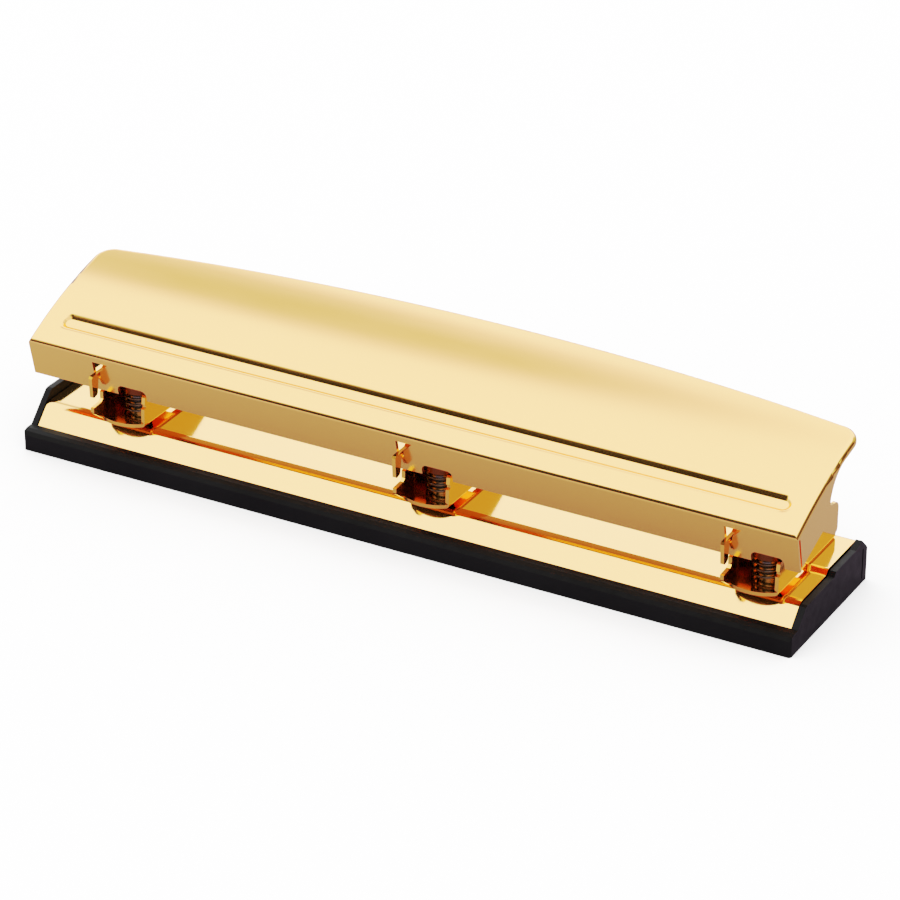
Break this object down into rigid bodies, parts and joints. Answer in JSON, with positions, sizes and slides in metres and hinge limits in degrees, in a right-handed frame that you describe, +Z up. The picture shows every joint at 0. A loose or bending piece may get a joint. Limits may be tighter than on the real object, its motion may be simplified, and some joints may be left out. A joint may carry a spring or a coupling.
{
  "type": "hole punch",
  "caption": "Long lever hole punch with sprung punch heads under a folded sheet-metal handle, on a snap-off chip tray.",
  "frame": {"origin": "middle of the chip tray's flat underside", "axes": "+X along the punch to the right seen from the paper side, +Y away from the paper side, +Z up"},
  "size_m": [0.2646, 0.0574, 0.053],
  "materials": {
    "tray_plastic": "satin black moulded",
    "gold_plated_plate": "mirror gold plating on sheet steel",
    "gold_plated_bracket": "mirror gold plating on sheet steel",
    "gold_plated_guide": "mirror gold plating on sheet steel",
    "gold_plated_rivets": "gold plated",
    "gold_plated_handle": "satin-mirror gold plating on sheet steel",
    "hardened_pin_steel": "ground and polished",
    "clip_steel": "black oxide",
    "cup_steel": "turned, dark bronze-coloured",
    "spring_steel": "oiled dark spring wire"
  },
  "bodies": {
    "tray": {"chip_tray": "tray_plastic"},
    "frame": {"base_plate": "gold_plated_plate", "bracket_rivets": "gold_plated_rivets", "left_bracket": "gold_plated_bracket", "left_upper_guide": "gold_plated_guide", "left_return_spring": "spring_steel", "middle_bracket": "gold_plated_bracket", "middle_upper_guide": "gold_plated_guide", "middle_return_spring": "spring_steel", "right_bracket": "gold_plated_bracket", "right_upper_guide": "gold_plated_guide", "right_return_spring": "spring_steel"},
    "handle": {"handle": "gold_plated_handle"},
    "left_pin": {"left_punch_pin": "hardened_pin_steel", "left_pin_clip": "clip_steel", "left_spring_cup": "cup_steel"},
    "middle_pin": {"middle_punch_pin": "hardened_pin_steel", "middle_pin_clip": "clip_steel", "middle_spring_cup": "cup_steel"},
    "right_pin": {"right_punch_pin": "hardened_pin_steel", "right_pin_clip": "clip_steel", "right_spring_cup": "cup_steel"}
  },
  "joints": [
    {"name": "tray_release", "type": "slide", "parent": "tray", "child": "frame", "axis": [0, 0, 1], "range_m": [0, 0.02]},
    {"name": "handle_press", "type": "hinge", "parent": "frame", "child": "handle", "pos_m": [0, -0.0202, 0.0293], "axis": [-1, 0, 0], "range_deg": [0, 24], "stiffness_Nm_per_rad": 1.2, "springref_deg": -14.9},
    {"name": "left_pin_stroke", "type": "slide", "parent": "frame", "child": "left_pin", "axis": [0, 0, -1], "range_m": [0, 0.0043], "deforming": ["left_return_spring"]},
    {"name": "middle_pin_stroke", "type": "slide", "parent": "frame", "child": "middle_pin", "axis": [0, 0, -1], "range_m": [0, 0.0043], "deforming": ["middle_return_spring"]},
    {"name": "right_pin_stroke", "type": "slide", "parent": "frame", "child": "right_pin", "axis": [0, 0, -1], "range_m": [0, 0.0043], "deforming": ["right_return_spring"]}
  ],
  "couplings": [
    {"joint": "left_pin_stroke", "follows": "handle_press", "m_per_rad": 0.01026},
    {"joint": "middle_pin_stroke", "follows": "handle_press", "m_per_rad": 0.01026},
    {"joint": "right_pin_stroke", "follows": "handle_press", "m_per_rad": 0.01026}
  ]
}
